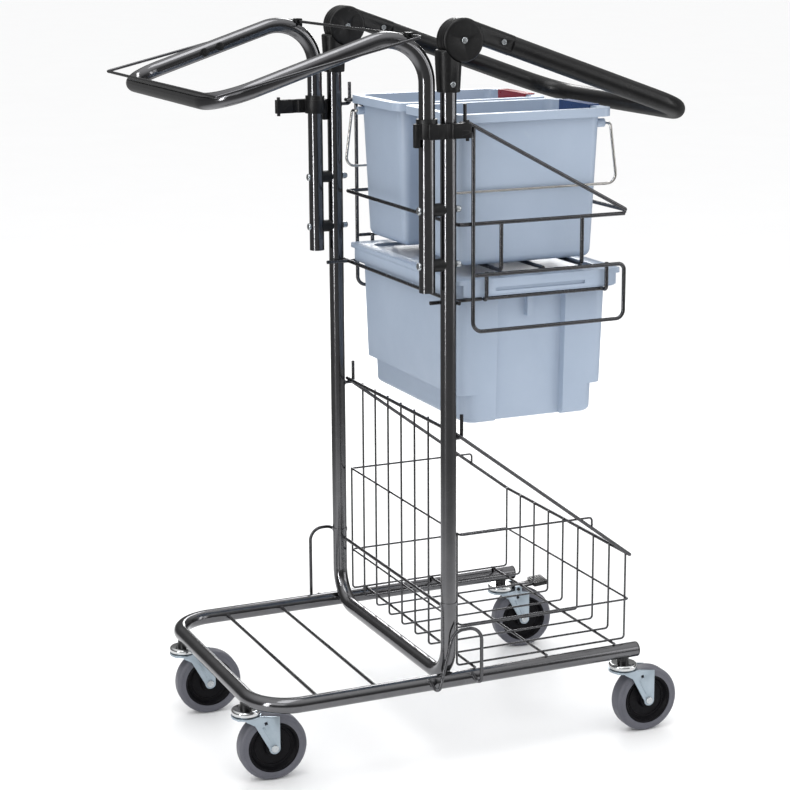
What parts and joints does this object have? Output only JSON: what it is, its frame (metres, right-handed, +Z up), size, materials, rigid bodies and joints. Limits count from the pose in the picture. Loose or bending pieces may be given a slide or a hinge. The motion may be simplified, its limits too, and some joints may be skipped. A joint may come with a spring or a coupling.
{
  "type": "housekeeping cart",
  "caption": "Upright tubular cart with tilting push handle, bag holder ring, lift-out buckets on a wire shelf, slide-out lidded box, wire basket and swivel castors.",
  "frame": {"origin": "on the floor, on the centre plane, straight below the two upright posts", "axes": "+Z up, +Y towards the push handle and buckets, -Y towards the platform and bag holder, +X to the side of the left bucket"},
  "size_m": [0.484, 0.7305, 1.0495],
  "materials": {
    "tube_gunmetal": "dark glossy plated steel tube",
    "wire_gunmetal": "dark glossy plated steel wire",
    "black_plastic": "fine-grained black moulding",
    "grip_black": "smooth satin black sleeve over a steel tube",
    "pale_plastic": "pale blue-grey moulding, satin",
    "blue_tab": "blue colour-code tab",
    "red_tab": "red colour-code tab",
    "stainless": "polished stainless wire",
    "bright_screw": "zinc plated fastener",
    "zinc": "bright zinc plated pressed steel",
    "stem_black": "black spacer tube",
    "tyre_rubber": "grey non-marking rubber",
    "wheel_plastic": "dark grey wheel centre"
  },
  "bodies": {
    "frame": {"bag_tube": "tube_gunmetal", "bag_tube_plugs": "black_plastic", "base_rail": "tube_gunmetal", "carrier_front_bar": "wire_gunmetal", "carrier_rails": "wire_gunmetal", "castor_bearings": "zinc", "castor_stems": "stem_black", "clamp_clips": "black_plastic", "cross_rods": "wire_gunmetal", "dome_nuts": "bright_screw", "foot_loops": "wire_gunmetal", "hanger_pegs": "wire_gunmetal", "hinge_heads": "black_plastic", "lower_uframe": "tube_gunmetal", "neck_screws": "bright_screw", "post_joint_rings": "tube_gunmetal", "rail_end_plugs": "black_plastic", "shelf_floor_wires": "wire_gunmetal", "shelf_ring": "wire_gunmetal", "shelf_side_loops": "wire_gunmetal", "shelf_top_frame": "wire_gunmetal", "spacer_bolts": "bright_screw", "tube_spacers": "black_plastic", "upper_posts": "tube_gunmetal"},
    "handle": {"handle_arms": "black_plastic", "handle_tube": "grip_black", "hub_bolts": "bright_screw", "arm_screws": "bright_screw"},
    "clamp": {"clamp_frame": "wire_gunmetal"},
    "basket": {"basket_rim": "wire_gunmetal", "basket_long_wires": "wire_gunmetal", "basket_rings": "wire_gunmetal", "basket_bottom_rods": "wire_gunmetal"},
    "bucket_left_body": {"bucket_left": "pale_plastic", "colour_tab_left": "blue_tab"},
    "bail_left_body": {"bail_left": "stainless"},
    "tool_clip_left_body": {"tool_clip_left": "black_plastic"},
    "bucket_right_body": {"bucket_right": "pale_plastic", "colour_tab_right": "red_tab"},
    "bail_right_body": {"bail_right": "stainless"},
    "tool_clip_right_body": {"tool_clip_right": "black_plastic"},
    "box": {"box_tub": "pale_plastic"},
    "lid": {"box_lid": "pale_plastic"},
    "castor_front_left": {"castor_fork_front_left": "zinc", "castor_axle_front_left": "bright_screw"},
    "wheel_front_left": {"castor_tyre_front_left": "tyre_rubber", "castor_hub_front_left": "wheel_plastic"},
    "castor_front_right": {"castor_fork_front_right": "zinc", "castor_axle_front_right": "bright_screw"},
    "wheel_front_right": {"castor_tyre_front_right": "tyre_rubber", "castor_hub_front_right": "wheel_plastic"},
    "castor_rear_left": {"castor_fork_rear_left": "zinc", "castor_axle_rear_left": "bright_screw"},
    "wheel_rear_left": {"castor_tyre_rear_left": "tyre_rubber", "castor_hub_rear_left": "wheel_plastic"},
    "castor_rear_right": {"castor_fork_rear_right": "zinc", "castor_axle_rear_right": "bright_screw"},
    "wheel_rear_right": {"castor_tyre_rear_right": "tyre_rubber", "castor_hub_rear_right": "wheel_plastic"},
    "brake": {"brake_pedal": "stem_black"}
  },
  "joints": [
    {"name": "handle_tilt", "type": "hinge", "parent": "frame", "child": "handle", "pos_m": [0, 0.017, 1.02], "axis": [1, 0, 0], "range_deg": [0, 110]},
    {"name": "clamp_lift", "type": "hinge", "parent": "frame", "child": "clamp", "pos_m": [0, -0.057, 1.02786], "axis": [-1, 0, 0], "range_deg": [0, 95]},
    {"name": "basket_lift", "type": "slide", "parent": "frame", "child": "basket", "axis": [0, 0, 1], "range_m": [0, 0.05]},
    {"name": "bucket_left_lift", "type": "slide", "parent": "frame", "child": "bucket_left_body", "axis": [0, 0, 1], "range_m": [0, 0.25]},
    {"name": "bail_left_swing", "type": "hinge", "parent": "bucket_left_body", "child": "bail_left_body", "pos_m": [0.16, 0.1395, 0.8965], "axis": [0, -1, 0], "range_deg": [0, 6]},
    {"name": "bucket_right_lift", "type": "slide", "parent": "frame", "child": "bucket_right_body", "axis": [0, 0, 1], "range_m": [0, 0.25]},
    {"name": "bail_right_swing", "type": "hinge", "parent": "bucket_right_body", "child": "bail_right_body", "pos_m": [-0.16, 0.1395, 0.8965], "axis": [0, 1, 0], "range_deg": [0, 6]},
    {"name": "tool_clip_left_swing", "type": "hinge", "parent": "frame", "child": "tool_clip_left_body", "pos_m": [0.2, -0.0315, 0.902], "axis": [0, 0, -1], "range_deg": [0, 100]},
    {"name": "tool_clip_right_swing", "type": "hinge", "parent": "frame", "child": "tool_clip_right_body", "pos_m": [-0.2, -0.0315, 0.902], "axis": [0, 0, 1], "range_deg": [0, 90]},
    {"name": "box_slide", "type": "slide", "parent": "frame", "child": "box", "axis": [0, 1, 0], "range_m": [0, 0.28]},
    {"name": "lid_slide", "type": "slide", "parent": "box", "child": "lid", "axis": [0, 1, 0], "range_m": [0, 0.24]},
    {"name": "swivel_front_left", "type": "hinge", "parent": "frame", "child": "castor_front_left", "pos_m": [0.138, -0.282, 0.1], "axis": [0, 0, 1], "continuous": true},
    {"name": "roll_front_left", "type": "hinge", "parent": "castor_front_left", "child": "wheel_front_left", "pos_m": [0.14051, -0.24609, 0.049], "axis": [0.9976, -0.0698, 0], "continuous": true},
    {"name": "swivel_front_right", "type": "hinge", "parent": "frame", "child": "castor_front_right", "pos_m": [-0.138, -0.282, 0.1], "axis": [0, 0, 1], "continuous": true},
    {"name": "roll_front_right", "type": "hinge", "parent": "castor_front_right", "child": "wheel_front_right", "pos_m": [-0.13486, -0.24614, 0.049], "axis": [0.9962, -0.0872, 0], "continuous": true},
    {"name": "swivel_rear_left", "type": "hinge", "parent": "frame", "child": "castor_rear_left", "pos_m": [0.2, 0.2835, 0.1], "axis": [0, 0, 1], "continuous": true},
    {"name": "roll_rear_left", "type": "hinge", "parent": "castor_rear_left", "child": "wheel_rear_left", "pos_m": [0.20063, 0.31949, 0.049], "axis": [0.9998, -0.0175, 0], "continuous": true},
    {"name": "swivel_rear_right", "type": "hinge", "parent": "frame", "child": "castor_rear_right", "pos_m": [-0.2, 0.2835, 0.1], "axis": [0, 0, 1], "continuous": true},
    {"name": "roll_rear_right", "type": "hinge", "parent": "castor_rear_right", "child": "wheel_rear_right", "pos_m": [-0.19624, 0.3193, 0.049], "axis": [0.9945, -0.1045, 0], "continuous": true},
    {"name": "brake_press", "type": "hinge", "parent": "castor_rear_right", "child": "brake", "pos_m": [-0.19739, 0.30836, 0.102], "axis": [-0.9945, 0.1045, 0], "range_deg": [0, 10]}
  ]
}
